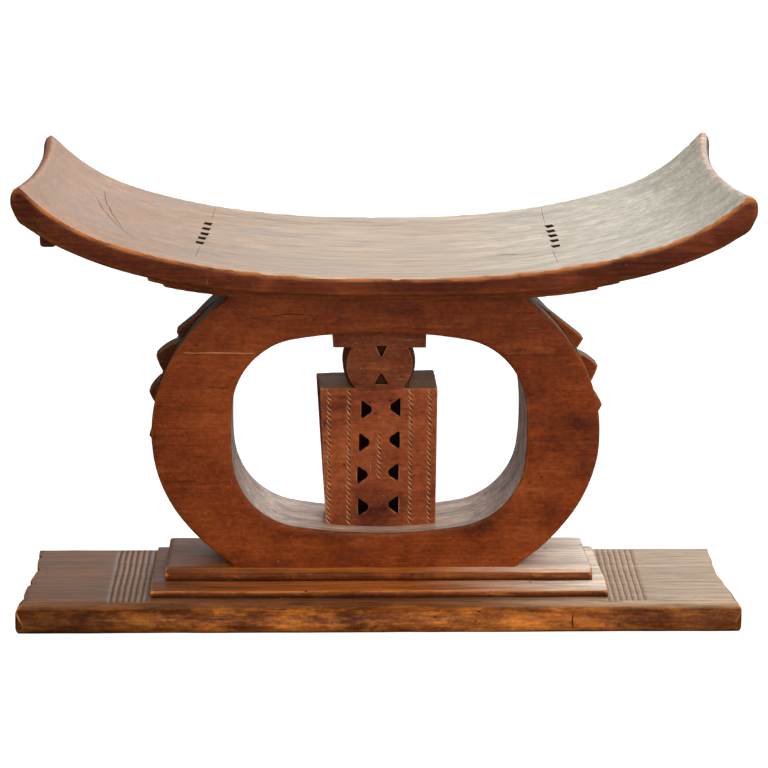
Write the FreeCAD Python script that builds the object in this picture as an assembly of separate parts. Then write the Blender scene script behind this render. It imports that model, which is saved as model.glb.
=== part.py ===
import FreeCAD, Part
import math
import os

os.makedirs("parts", exist_ok=True)

# Foot slab: rolled front and back, ends hollowed in plan, flat underneath
foot_length = 613.6
foot_depth = 173.5
foot_offset = -2.0
foot_thickness = 25.0
foot_back_draw = 3.0
foot_corner = 9.0
foot_top_roll = 10.5
foot_bottom_roll = 3.5
foot_end_hollow = 8.7
foot_hollow_offset = 8.0

# Worn bites out of the left end of the foot, spaced as shares of half its depth
bite_radius = 13.0
bite_reach = 2.2
bite_shares = (-0.66, -0.24, 0.2, 0.62)

# Grooves scored across the foot on both sides of its steps
groove_count = 7
groove_pitch = 5.1
groove_width = 3.6
groove_depth = 1.7
groove_gap = 3.2
left_groove_turn = -0.4
right_groove_turn = 2.7

# Two steps on the foot, repeated under the seat; their treads fall away from the ring
outer_step_length = 387.0
outer_step_depth = 133.0
inner_step_length = 364.0
inner_step_depth = 97.0
outer_step_edge = 5.6
outer_step_pitch = 3.4
outer_step_back_wear = 2.0
inner_step_edge = 5.6
inner_step_pitch = 5.0
inner_step_back_wear = 2.0

# Oval ring that carries the seat
ring_depth = 86.0
ring_half_width = 189.0
ring_centre_share = 0.4991
ring_top_sink = 39.2
ring_foot_sink = 32.6
ring_offset = -3.1
# Where an oval's arcs meet, as shares of a right angle from its crown, and its corners' radius
# as a share of the mean of its half width and half height
ring_turn_shares = (0.3, 0.62)
ring_corner_share = 1.0

# Opening through the ring, squarer than an ellipse
opening_half_width = 124.9
ring_crown_wall = 27.4
ring_foot_wall = 29.6
opening_offset = -0.6
opening_turn_shares = (0.106, 0.941)
opening_corner_share = 0.608

# Scallops on the shoulders of the ring
scallop_thickness = 17.0
scallop_height = 11.6
scallop_tip = 1.6
scallop_root = 6.0
# Start, tip and end as shares of a right angle from the top, then height and swell
left_scallop_shares = (
    (0.487, 0.662, 0.676, 0.62, 0.22),
    (0.678, 0.761, 0.804, 0.99, 0.30),
    (0.820, 0.881, 0.917, 0.60, 0.30),
    (1.005, 1.034, 1.062, 0.38, 0.25),
)
right_scallop_shares = (
    (0.487, 0.697, 0.718, 0.94, 0.12),
    (0.722, 0.797, 0.846, 1.00, 0.28),
    (0.868, 0.927, 0.965, 0.60, 0.30),
    (1.045, 1.078, 1.105, 0.38, 0.25),
)

# Column in the opening: capital, drum and pierced box share their front and back
column_depth = 44.0
column_offset = -0.4
capital_width = 79.0
capital_height = 17.1
drum_radius = 28.0
drum_belly = 3.2
drum_flat_share = 0.36
drum_height = 35.3
drum_axis_height = 20.0
box_top_width = 99.8
box_foot_width = 94.0
box_foot_offset = 2.1
box_left_lean = 3.2
box_right_lean = 1.2
box_left_pitch = 3.5
box_right_pitch = 6.5

# Half-round pockets cut into the box from the front and from the back
pocket_height = 17.4
pocket_width = 8.8
pocket_spacing = 35.2
pocket_top_gap = 7.8
pocket_floor_gap = 10.5
pocket_stagger = 2.2
pocket_web = 2.6
pocket_shoulder_shares = (0.62, 0.5)
# Hand-cut drift of each row towards the middle, as shares of a pocket's width
left_drift_shares = (0.3, 0.1, -0.06, 0.02)
right_drift_shares = (-0.08, -0.03, 0.05, 0.03)

# Triangular sinkings in the drum, apex to apex
sinking_width = 12.0
sinking_height = 10.6
sinking_depth = 4.5
sinking_gap = 12.0
sinking_offset = 1.6

# Seat: a saddle board with four horns, curved along its length and bellied underneath
seat_half_length = 283.0
seat_depth = 300.0
seat_low = 315.1
seat_rise = 68.7
lip_offset = 2.5
lip_rise_shares = (0.48, 0.35, 0.17)
lip_powers = (2, 4, 12)
seat_edge = 14.0
under_rise = 51.0
under_offset = 4.5
under_rise_shares = (0.27, 0.73)
under_powers = (2, 4)
seat_dish = 4.5
seat_belly = 16.5
belly_power = 4
end_bulge = 8.2
end_fall = 1.5
end_drop = 15.0
end_heel_share = 0.935
end_roundness_share = 0.75
end_knee_share = 0.56
end_hollow = 1.2
left_flare = 6.0
right_flare = 12.0
left_lift_share = 0.45
right_lift_share = 1.0
flare_power = 5

# Stations along half the seat's length, and across half its depth
length_shares = (-1, -0.9, -0.7, -0.38, 0, 0.38, 0.7, 0.9, 1)
depth_shares = (-1, -0.4, 0.2, 0.7, 1)

# Bands under the seat, measured below its belly
upper_band = 3.2
upper_band_offset = 1.9
lower_band = 5.6
lower_band_inset = 2.0

# Lug under the left end of the seat
lug_width = 13.0
lug_length = 24.0
lug_drop = 12.0
lug_corner = 3.0
lug_inset = 17.0
lug_setback = 48.0

# Every cut runs this far past what it cuts
overrun = 12.0

right_angle = 90
up = FreeCAD.Vector(0, 0, 1)
along = FreeCAD.Vector(1, 0, 0)
across = FreeCAD.Vector(0, 1, 0)

outer_step_top = foot_thickness + outer_step_edge + outer_step_pitch
inner_step_top = outer_step_top + inner_step_edge + inner_step_pitch
under_low = seat_low - seat_edge
band_low = under_low - seat_belly - upper_band - lower_band
ring_centre = inner_step_top + ring_centre_share * (band_low - inner_step_top)
ring_above = band_low + ring_top_sink - ring_centre
ring_below = ring_centre - inner_step_top + ring_foot_sink
opening_top = band_low - ring_crown_wall
opening_floor = inner_step_top + ring_foot_wall
opening_half_height = (opening_top - opening_floor) / 2
opening_centre = opening_floor + opening_half_height
capital_low = opening_top - capital_height
box_top = capital_low - drum_height
drum_centre = box_top + drum_axis_height
seat_half_depth = seat_depth / 2
column_face = column_depth / 2


def spot(x, y, z):
    return FreeCAD.Vector(x, y, z)


def line(start, end):
    return Part.LineSegment(start, end).toShape()


def bezier(poles):
    curve = Part.BezierCurve()
    curve.setPoles(poles)
    return curve.toShape()


def spline(points):
    """Curve through one point at each station along the seat's length."""
    curve = Part.BSplineCurve()
    curve.interpolate(Points=points, Parameters=length_shares)
    return curve.toShape()


def polygon(points):
    return Part.makePolygon(list(points) + [points[0]])


def prism(wire, depth):
    """Outline drawn in the middle of the depth, carried equally to the front and back."""
    face = Part.Face(wire)
    face.translate(across * (-depth / 2))
    return face.extrude(across * depth)


def edges_along(shape, direction):
    """Straight edges that run parallel to a direction."""
    found = []
    for edge in shape.Edges:
        ends = [vertex.Point for vertex in edge.Vertexes]
        if len(ends) == 2 and isinstance(edge.Curve, Part.Line):
            run = (ends[1] - ends[0]).normalize()
            if abs(run.dot(direction)) > math.cos(math.radians(1)):
                found.append(edge)
    return found


def edges_at_height(shape, height):
    """Edges that lie level at one height."""
    tolerance = foot_thickness / 1000
    return [
        edge
        for edge in shape.Edges
        if abs(edge.BoundBox.ZMin - height) < tolerance and abs(edge.BoundBox.ZMax - height) < tolerance
    ]


def foot():
    """Slab rolled along its front and back, cut to a plan with hollow ends."""
    half_length = foot_length / 2
    half_depth = foot_depth / 2
    waist = half_length - foot_end_hollow
    back = half_length - foot_back_draw
    front_left = spot(-half_length, -half_depth, -overrun)
    front_right = spot(half_length, -half_depth, -overrun)
    back_right = spot(back, half_depth, -overrun)
    back_left = spot(-back, half_depth, -overrun)
    right_end = Part.Arc(front_right, spot(waist, foot_hollow_offset, -overrun), back_right)
    left_end = Part.Arc(back_left, spot(-waist, foot_hollow_offset, -overrun), front_left)
    outline = Part.Wire([
        line(front_left, front_right),
        right_end.toShape(),
        line(back_right, back_left),
        left_end.toShape(),
    ])
    plan = Part.Face(outline).extrude(up * (foot_thickness + 2 * overrun))
    plan = plan.makeFillet(foot_corner, edges_along(plan, up))
    slab = Part.makeBox(foot_length, foot_depth, foot_thickness, spot(-half_length, -half_depth, 0))
    for height, roll in ((0, foot_bottom_roll), (foot_thickness, foot_top_roll)):
        rims = edges_at_height(slab, height)
        slab = slab.makeFillet(roll, [edge for edge in rims if edge.BoundBox.XLength > foot_depth])
    slab = slab.common(plan)
    for share in bite_shares:
        depth_place = share * half_depth
        hollow_share = ((depth_place - foot_hollow_offset) / (half_depth + foot_hollow_offset)) ** 2
        end_line = waist + foot_end_hollow * hollow_share
        centre = spot(-end_line - bite_radius + bite_reach, depth_place, -overrun)
        bite = Part.makeCylinder(bite_radius, foot_thickness + 2 * overrun, centre, up)
        slab = slab.cut(bite)
    slab.translate(across * foot_offset)
    return slab.cut(grooves())


def grooves():
    """V-shaped scores, one fan on each side of the steps."""
    span = (groove_count - 1) * groove_pitch
    fan_centre = outer_step_length / 2 + groove_gap + span / 2
    half_width = groove_width / 2
    scores = []
    for side, turn in ((-1, left_groove_turn), (1, right_groove_turn)):
        for number in range(groove_count):
            offset = number * groove_pitch - span / 2
            middle = side * fan_centre + offset
            rise = groove_depth + overrun
            reach = half_width * rise / groove_depth
            notch = polygon((
                spot(middle, 0, foot_thickness - groove_depth),
                spot(middle + reach, 0, foot_thickness + overrun),
                spot(middle - reach, 0, foot_thickness + overrun),
            ))
            score = prism(notch, foot_depth + 2 * overrun)
            score.rotate(spot(side * fan_centre, 0, 0), up, -turn)
            scores.append(score)
    return fuse_all(scores)


def fuse_all(shapes):
    return shapes[0].multiFuse(shapes[1:])


def step(length, depth, low, edge, pitch, back_wear, crown_depth):
    """Plinth whose tread is level under what stands on it and falls to its front and back."""
    half_depth = depth / 2
    crown = crown_depth / 2
    section = polygon((
        spot(-length / 2, -half_depth, low),
        spot(-length / 2, -half_depth, low + edge),
        spot(-length / 2, -crown, low + edge + pitch),
        spot(-length / 2, crown, low + edge + pitch),
        spot(-length / 2, half_depth, low + edge - back_wear),
        spot(-length / 2, half_depth, low),
    ))
    return Part.Face(section).extrude(along * length)


def quarter(half_width, height, turn_shares, corner_share):
    """Three tangent arcs from an oval's crown to its flank, as ends and middles about its centre."""
    first, last = [math.radians(share * right_angle) for share in turn_shares]
    first_sine, first_cosine = math.sin(first), math.cos(first)
    last_sine, last_cosine = math.sin(last), math.cos(last)
    corner_radius = corner_share * math.sqrt(half_width * height)
    width = half_width - corner_radius * (last_sine - first_sine)
    rise = height - corner_radius * (first_cosine - last_cosine)
    balance = first_sine * last_cosine - (1 - last_sine) * (1 - first_cosine)
    crown_radius = (width * last_cosine - rise * (1 - last_sine)) / balance
    flank_radius = (rise * first_sine - width * (1 - first_cosine)) / balance
    crown_centre = spot(0, 0, height - crown_radius)
    corner_centre = crown_centre + spot(first_sine, 0, first_cosine) * (crown_radius - corner_radius)
    flank_centre = spot(half_width - flank_radius, 0, 0)
    centres = (crown_centre, corner_centre, flank_centre)
    radii = (crown_radius, corner_radius, flank_radius)
    turns = (0, first, last, math.radians(right_angle))
    arcs = []
    for start, end, centre, radius in zip(turns, turns[1:], centres, radii):
        places = (start, (start + end) / 2, end)
        arcs.append([centre + spot(math.sin(turn), 0, math.cos(turn)) * radius for turn in places])
    return arcs


def oval(centre, half_width, half_heights, turn_shares, corner_share):
    """Closed outline of four quarters about one centre."""
    above, below = half_heights
    edges = []
    for side, rise, reach in ((1, 1, above), (1, -1, below), (-1, -1, below), (-1, 1, above)):
        arcs = quarter(half_width, reach, turn_shares, corner_share)
        if side != rise:
            arcs = [(end, middle, start) for start, middle, end in reversed(arcs)]
        for arc in arcs:
            places = [centre + along * (side * point.x) + up * (rise * point.z) for point in arc]
            edges.append(Part.Arc(*places).toShape())
    return Part.Wire(edges)


def ring_blank():
    centre = spot(ring_offset, 0, ring_centre)
    outline = oval(centre, ring_half_width, (ring_above, ring_below), ring_turn_shares, ring_corner_share)
    return prism(outline, ring_depth)


def trimmed(shape, ceiling):
    """Cut level on the upper step and to the curve of the lower band."""
    box = shape.BoundBox
    ground = Part.makeBox(
        box.XLength + 2 * overrun,
        box.YLength + 2 * overrun,
        inner_step_top + overrun,
        spot(box.XMin - overrun, box.YMin - overrun, -overrun),
    )
    return shape.cut(ground).cut(ceiling)


def ring(ceiling):
    centre = spot(opening_offset, 0, opening_centre)
    half_heights = (opening_half_height, opening_half_height)
    outline = oval(centre, opening_half_width, half_heights, opening_turn_shares, opening_corner_share)
    hole = prism(outline, ring_depth + 2 * overrun)
    return trimmed(ring_blank().cut(hole), ceiling)


def shoulder(angle, side, height):
    """Point on the ring's outline, raised along its outward direction."""
    turn = math.radians(angle)
    reach = ring_above if math.cos(turn) > 0 else ring_below
    outward = spot(side * math.sin(turn) / ring_half_width, 0, math.cos(turn) / reach).normalize()
    place_x = ring_offset + side * ring_half_width * math.sin(turn)
    place = spot(place_x, 0, ring_centre + reach * math.cos(turn))
    return place + outward * height, outward


def scallop(side, shares):
    """One fin: a long rising edge, a tip, and a short return to the ring."""
    start_share, tip_share, end_share, height_share, swell_share = shares
    height = height_share * scallop_height
    start, start_out = shoulder(start_share * right_angle, side, 0)
    tip, tip_out = shoulder(tip_share * right_angle, side, height)
    end, end_out = shoulder(end_share * right_angle, side, 0)
    rising_middle = (start + tip) / 2 + tip_out * (swell_share * height / 2)
    falling_middle = (tip + end) / 2 + tip_out * (swell_share * height / 4)
    start_root = start - start_out * scallop_root
    end_root = end - end_out * scallop_root
    outline = Part.Wire([
        line(start_root, start),
        Part.Arc(start, rising_middle, tip).toShape(),
        Part.Arc(tip, falling_middle, end).toShape(),
        line(end, end_root),
        line(end_root, start_root),
    ])
    fin = prism(outline, scallop_thickness)
    tip_point = Part.Vertex(tip)
    tip_edges = [edge for edge in edges_along(fin, across) if edge.distToShape(tip_point)[0] < scallop_tip]
    return fin.makeFillet(scallop_tip, tip_edges)


def crest(side, shares, ceiling):
    body = ring_blank()
    fins = [trimmed(scallop(side, row).cut(body), ceiling) for row in shares]
    return Part.makeCompound([solid for fin in fins for solid in fin.Solids])


def capital(carrier):
    half_width = capital_width / 2
    low = spot(column_offset - half_width, -column_face, capital_low)
    stub = Part.makeBox(capital_width, column_depth, capital_height + overrun, low)
    return stub.cut(carrier).cut(sinkings())


def drum():
    """Barrel lying front to back, flat where the box and the capital meet it."""
    axis = spot(column_offset, 0, drum_centre)
    front = axis - across * column_face
    back = axis + across * column_face
    belly = axis + up * (drum_radius + drum_belly)
    flat = across * (column_face * drum_flat_share)
    outline = polygon((
        front,
        front + up * drum_radius,
        belly - flat,
        belly + flat,
        back + up * drum_radius,
        back,
    ))
    barrel = Part.Face(outline).revolve(axis, across, 360).Solids[0]
    width = 2 * (drum_radius + drum_belly + overrun)
    corner = spot(column_offset - width / 2, -column_face - overrun, box_top)
    slice_between = Part.makeBox(width, column_depth + 2 * overrun, drum_height, corner)
    return barrel.common(slice_between).cut(sinkings())


def sinkings():
    """Triangles sunk in both faces, pointing at each other across the drum's centre."""
    middle = column_offset + sinking_offset
    cutters = []
    for rise in (1, -1):
        apex = drum_centre + rise * sinking_gap / 2
        base = apex + rise * sinking_height
        outline = polygon((
            spot(middle, 0, apex),
            spot(middle + sinking_width / 2, 0, base),
            spot(middle - sinking_width / 2, 0, base),
        ))
        for facing in (-1, 1):
            cutter = prism(outline, 2 * sinking_depth)
            cutter.translate(across * (facing * column_face))
            cutters.append(cutter)
    return fuse_all(cutters)


def box(carrier):
    """Tapered box whose sides lean as they go back, and whose top rises to the back."""
    foot_middle = column_offset + box_foot_offset
    foot_half = box_foot_width / 2
    outlines = []
    for y, back in ((-column_face, 0), (column_face, 1)):
        left = column_offset - box_top_width / 2 - back * box_left_lean
        right = column_offset + box_top_width / 2 - back * box_right_lean
        outlines.append(polygon((
            spot(left, y, box_top + back * box_left_pitch),
            spot(right, y, box_top + back * box_right_pitch),
            spot(foot_middle + foot_half, y, opening_floor),
            spot(foot_middle + foot_half, y, opening_floor - overrun),
            spot(foot_middle - foot_half, y, opening_floor - overrun),
            spot(foot_middle - foot_half, y, opening_floor),
        )))
    return Part.makeLoft(outlines, True, True).cut(carrier).cut(pockets())


def pockets():
    cutters = []
    half_height = pocket_height / 2
    pocket_depth = (column_depth - pocket_web) / 2
    room = box_top - opening_floor - pocket_top_gap - pocket_floor_gap - pocket_height
    pitch = room / (len(left_drift_shares) - 1)
    shoulder_share, shoulder_rise_share = pocket_shoulder_shares
    for side, drift_shares, drop in ((-1, left_drift_shares, pocket_stagger), (1, right_drift_shares, 0)):
        for row, drift in enumerate(drift_shares):
            middle = box_top - pocket_top_gap - drop - half_height - row * pitch
            flat = column_offset + side * (pocket_spacing / 2 - drift * pocket_width)
            shoulder = flat - side * pocket_width * shoulder_share
            top = spot(flat, 0, middle + half_height)
            low = spot(flat, 0, middle - half_height)
            upper_shoulder = spot(shoulder, 0, middle + half_height * shoulder_rise_share)
            lower_shoulder = spot(shoulder, 0, middle - half_height * shoulder_rise_share)
            tip = spot(flat - side * pocket_width, 0, middle)
            outline = Part.Wire([
                line(low, top),
                line(top, upper_shoulder),
                Part.Arc(upper_shoulder, tip, lower_shoulder).toShape(),
                line(lower_shoulder, low),
            ])
            for facing in (-1, 1):
                cutter = prism(outline, 2 * pocket_depth)
                cutter.translate(across * (facing * column_face))
                cutters.append(cutter)
    return fuse_all(cutters)


def lip_height(x):
    reach = abs(x - lip_offset) / seat_half_length
    rise_share = sum(share * reach ** power for share, power in zip(lip_rise_shares, lip_powers))
    return seat_low + seat_rise * rise_share


def under_height(x):
    reach = abs(x - under_offset) / seat_half_length
    rise_share = sum(share * reach ** power for share, power in zip(under_rise_shares, under_powers))
    return under_low + under_rise * rise_share


def seat_end(side, tip, heel, heel_run):
    """Rounded end from the lip to its widest point, then two flats in under the seat."""
    widest = spot(tip.x + side * end_bulge, tip.y, tip.z - end_drop)
    upper_corner = spot(widest.x, tip.y, tip.z - end_fall)
    tip_pole = tip + (upper_corner - tip) * end_roundness_share
    widest_pole = widest + (upper_corner - widest) * end_roundness_share
    lower_corner = heel + heel_run * ((widest.x - heel.x) / heel_run.x)
    middle = (widest + heel) / 2
    knee = middle + (lower_corner - middle) * end_knee_share
    return [
        bezier([tip, tip_pole, widest_pole, widest]),
        line(widest, knee),
        line(knee, heel),
    ]


def seat_section(depth_share):
    """Outline of the seat at one station across its depth."""
    y = depth_share * seat_half_depth
    hollow = 1 - depth_share ** 2
    lean = ((1 + depth_share) / 2) ** flare_power
    top = []
    bottom = []
    for share in length_shares:
        flare, lift_share = (right_flare, right_lift_share) if share > 0 else (left_flare, left_lift_share)
        reach = share * (seat_half_length + flare * lean - end_hollow * hollow)
        lift = reach - share * flare * lean * (1 - lift_share)
        under = reach * end_heel_share
        fade = 1 - abs(share) ** belly_power
        top.append(spot(reach, y, lip_height(lift) - seat_dish * hollow))
        bottom.append(spot(under, y, under_height(under) - seat_belly * hollow * fade))
    crown = spline(top)
    belly = spline(bottom)
    left_run = belly.tangentAt(belly.FirstParameter)
    right_run = belly.tangentAt(belly.LastParameter)
    left_end = seat_end(-1, top[0], bottom[0], left_run)
    right_end = seat_end(1, top[-1], bottom[-1], right_run)
    return Part.Wire([crown] + right_end + [belly] + left_end)


def seat():
    sections = [seat_section(share) for share in depth_shares]
    return Part.makeLoft(sections, True, False)


def above_curve(length, depth, drop, offset):
    """Everything over a curve that runs below the middle of the seat's underside."""
    half = length / 2
    curve_points = []
    for share in length_shares:
        x = offset + share * half
        curve_points.append(spot(x, 0, under_height(x) - seat_belly - drop))
    ceiling = seat_low + seat_rise
    right_top = spot(offset + half, 0, ceiling)
    left_top = spot(offset - half, 0, ceiling)
    outline = Part.Wire([
        spline(curve_points),
        line(curve_points[-1], right_top),
        line(right_top, left_top),
        line(left_top, curve_points[0]),
    ])
    return prism(outline, depth)


def lowest(shape):
    return min(shape.Solids, key=lambda solid: solid.CenterOfMass.z)


def lug(seat_solid):
    left = -seat_half_length + lug_inset - lug_width / 2
    front = -seat_half_depth + lug_setback - lug_length / 2
    under_middle = under_height(left + lug_width / 2)
    low = under_middle - lug_drop
    body = Part.makeBox(lug_width, lug_length, lug_drop + seat_edge, spot(left, front, low))
    rims = [edge for edge in edges_at_height(body, low) if edge.BoundBox.YLength > lug_width]
    body = body.makeFillet(lug_corner, rims)
    return lowest(body.cut(seat_solid))


def build():
    seat_solid = seat()
    band_drop = upper_band + lower_band
    band_length = inner_step_length - 2 * lower_band_inset
    upper_block = above_curve(outer_step_length, outer_step_depth, upper_band, upper_band_offset)
    lower_block = above_curve(band_length, inner_step_depth, band_drop, 0)
    ceiling = above_curve(band_length, ring_depth + 2 * overrun, band_drop, 0)
    ring_solid = ring(ceiling)
    box_solid = box(ring_solid)
    return {
        "foot": foot(),
        "lower_step": step(
            outer_step_length, outer_step_depth, foot_thickness,
            outer_step_edge, outer_step_pitch, outer_step_back_wear, inner_step_depth,
        ),
        "upper_step": step(
            inner_step_length, inner_step_depth, outer_step_top,
            inner_step_edge, inner_step_pitch, inner_step_back_wear, ring_depth,
        ),
        "ring": ring_solid,
        "left_crest": crest(-1, left_scallop_shares, ceiling),
        "right_crest": crest(1, right_scallop_shares, ceiling),
        "column_capital": capital(ring_solid),
        "column_drum": drum().cut(box_solid),
        "column_box": box_solid,
        "seat_lower_band": lowest(lower_block.cut(upper_block).cut(seat_solid)),
        "seat_upper_band": lowest(upper_block.cut(seat_solid)),
        "seat_lug": lug(seat_solid),
        "seat": seat_solid,
    }


for name, shape in build().items():
    shape.exportStep("parts/" + name + ".step")
    print(name, len(shape.Solids), round(shape.Volume), shape.isValid())
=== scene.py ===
import math
import bmesh
import bpy
import numpy as np
from mathutils import Matrix, Vector, noise
from mathutils.bvhtree import BVHTree


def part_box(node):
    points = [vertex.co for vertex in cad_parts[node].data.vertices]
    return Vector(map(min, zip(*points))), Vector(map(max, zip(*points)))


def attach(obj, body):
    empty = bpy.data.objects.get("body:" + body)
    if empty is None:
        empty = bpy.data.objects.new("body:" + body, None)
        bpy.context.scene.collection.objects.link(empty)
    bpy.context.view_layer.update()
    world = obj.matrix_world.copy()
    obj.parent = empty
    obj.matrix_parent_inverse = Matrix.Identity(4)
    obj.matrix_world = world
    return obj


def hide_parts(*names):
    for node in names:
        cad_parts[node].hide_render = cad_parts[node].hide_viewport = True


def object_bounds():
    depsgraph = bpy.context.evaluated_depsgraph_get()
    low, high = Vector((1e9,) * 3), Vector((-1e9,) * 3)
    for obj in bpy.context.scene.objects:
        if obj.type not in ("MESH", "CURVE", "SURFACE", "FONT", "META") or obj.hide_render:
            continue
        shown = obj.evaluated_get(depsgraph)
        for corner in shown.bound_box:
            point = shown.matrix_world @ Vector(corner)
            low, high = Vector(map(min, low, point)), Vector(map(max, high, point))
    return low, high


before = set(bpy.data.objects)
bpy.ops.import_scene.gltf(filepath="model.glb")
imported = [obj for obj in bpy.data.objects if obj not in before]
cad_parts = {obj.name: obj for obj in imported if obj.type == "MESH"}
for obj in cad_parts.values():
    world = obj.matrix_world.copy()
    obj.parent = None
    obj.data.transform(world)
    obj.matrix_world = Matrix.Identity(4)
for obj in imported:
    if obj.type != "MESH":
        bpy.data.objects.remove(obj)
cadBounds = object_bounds()
print("frame loaded with", len(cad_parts), "nodes")

mm = 0.001

# Camera

cameraSettings = {
    "place": (-0.0646, -1.9133, 0.6493),
    "yaw": 0.0361,          # turns are in radians
    "pitch": 0.2331,
    "roll": -0.0084,
    "lens": 107.76,
    "sensor": 36.0,
    "farthest": 100,
}


def addCamera():
    s = cameraSettings
    yaw, pitch, roll = s["yaw"], s["pitch"], s["roll"]
    right = Vector((math.cos(yaw), -math.sin(yaw), 0))
    level = math.cos(pitch)
    forward = Vector((math.sin(yaw) * level, math.cos(yaw) * level, -math.sin(pitch)))
    up = right.cross(forward)
    sideways = right * math.cos(roll) - up * math.sin(roll)
    upwards = right * math.sin(roll) + up * math.cos(roll)
    turn = Matrix((sideways, upwards, -forward)).transposed().to_4x4()
    data = bpy.data.cameras.new("camera")
    data.lens = s["lens"]
    data.sensor_width = s["sensor"]
    data.clip_end = s["farthest"]
    camera = bpy.data.objects.new("camera", data)
    camera.matrix_world = Matrix.Translation(s["place"]) @ turn
    bpy.context.scene.collection.objects.link(camera)
    bpy.context.scene.camera = camera


addCamera()
print("camera placed")

# Node helpers


def addNode(tree, kind, **values):
    node = tree.nodes.new(kind)
    for name, value in values.items():
        setattr(node, name, value)
    return node


# Fills sockets by their names, or by their numbers, written i0, i1 and so on
def feed(tree, node, **sockets):
    for name, value in sockets.items():
        numbered = name[0] == "i" and name[1:].isdigit()
        socket = node.inputs[int(name[1:]) if numbered else name]
        if isinstance(value, bpy.types.NodeSocket):
            tree.links.new(value, socket)
        else:
            socket.default_value = value
    return node


def maths(tree, operation, first, second=0.0, third=0.0, clamp=False):
    node = addNode(tree, "ShaderNodeMath", operation=operation, use_clamp=clamp)
    feed(tree, node, i0=first, i1=second, i2=third)
    return node.outputs[0]


def ranged(tree, value, low, high, newLow=0.0, newHigh=1.0):
    node = addNode(tree, "ShaderNodeMapRange", interpolation_type="SMOOTHSTEP")
    feed(tree, node, i0=value, i1=low, i2=high, i3=newLow, i4=newHigh)
    return node.outputs[0]


# One on average, and more or less where a noise is above or below its middle
def swing(tree, value, share):
    return maths(tree, "MULTIPLY_ADD", maths(tree, "SUBTRACT", value, 0.5), share, 1.0)


def mixed(tree, factor, first, second, blend="MIX"):
    node = addNode(tree, "ShaderNodeMix", data_type="RGBA", blend_type=blend)
    feed(tree, node, i0=factor, i6=first, i7=second)
    return node.outputs[2]


def noisy(tree, vector, scale, detail=4.0, roughness=0.5, distortion=0.0):
    node = addNode(tree, "ShaderNodeTexNoise")
    feed(tree, node, Vector=vector, Scale=scale, Detail=detail)
    feed(tree, node, Roughness=roughness, Distortion=distortion)
    return node.outputs["Fac"]


def stretched(tree, vector, scale):
    node = addNode(tree, "ShaderNodeVectorMath", operation="MULTIPLY")
    return feed(tree, node, i0=vector, i1=scale).outputs[0]


def parted(tree, vector):
    return feed(tree, addNode(tree, "ShaderNodeSeparateXYZ"), i0=vector).outputs


def newGroup(name, inputs, outputs):
    tree = bpy.data.node_groups.new(name, "ShaderNodeTree")
    for way, sockets in (("INPUT", inputs), ("OUTPUT", outputs)):
        for label, kind in sockets:
            tree.interface.new_socket(label, in_out=way, socket_type="NodeSocket" + kind)
    return tree, addNode(tree, "NodeGroupInput").outputs, addNode(tree, "NodeGroupOutput")


def useGroup(tree, group, **values):
    return feed(tree, addNode(tree, "ShaderNodeGroup", node_tree=group), **values)


def numbers(*labels):
    return [(label, "Float") for label in labels]


# Shared effects: a noise is given as its scale, detail, roughness and distortion,
# and a share along is how much slower it changes along the stool

grainSettings = {
    "along": 0.045,
    "figure": (64.0, 7.0, 0.74, 0.3),
    "fibre": (420.0, 3.0, 0.7),
    "poreAlong": 0.09,
    "pores": (260.0, 1.0),
    "poreLevels": (0.66, 0.74),
    "pith": (0, 0.03, -0.22),
    "ringAlong": 0.02,
    "ringCount": 230.0,     # growth rings in a metre
    "ringDetail": 2.0,
    "ringRough": 0.6,
    "swayAlong": 0.5,
    "sway": (7.0, 2.0),
    "swaySize": 0.03,
}


def grainGroup():
    s = grainSettings
    inputs, outputs = [("Vector", "Vector")], numbers("Figure", "Fibre", "Pores", "Rings")
    tree, given, out = newGroup("woodGrain", inputs, outputs)
    vector = given["Vector"]
    slow = stretched(tree, vector, (s["along"], 1, 1))
    figure = noisy(tree, slow, *s["figure"])
    fibre = noisy(tree, slow, *s["fibre"])
    short = stretched(tree, vector, (s["poreAlong"], 1, 1))
    pores = ranged(tree, noisy(tree, short, *s["pores"]), *s["poreLevels"])
    sway = noisy(tree, stretched(tree, vector, (s["swayAlong"], 1, 1)), *s["sway"])
    centred = addNode(tree, "ShaderNodeVectorMath", operation="SUBTRACT")
    feed(tree, centred, i0=stretched(tree, vector, (s["ringAlong"], 1, 1)), i1=s["pith"])
    radius = addNode(tree, "ShaderNodeVectorMath", operation="LENGTH")
    feed(tree, radius, i0=centred.outputs[0])
    year = maths(tree, "MULTIPLY_ADD", sway, s["swaySize"], radius.outputs["Value"])
    rings = addNode(tree, "ShaderNodeTexNoise", noise_dimensions="1D")
    feed(tree, rings, W=maths(tree, "MULTIPLY", year, s["ringCount"]), Scale=1.0)
    feed(tree, rings, Detail=s["ringDetail"], Roughness=s["ringRough"])
    feed(tree, out, Figure=figure, Fibre=fibre, Pores=pores, Rings=rings.outputs["Fac"])
    return tree


# Wear and painted highlight on edges that bend outwards, and darker hollow corners
wearAndHighlightSettings = {
    "along": 0.4,
    "patches": (85.0, 5.0, 0.7),
    "patchLevels": (0.36, 0.60),
    "least": 0.2,           # what is worn, with its painted highlight, where no patch lies
    "underneath": 0.15,     # share of the wear and painted highlight left on edges that look down
}


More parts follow.
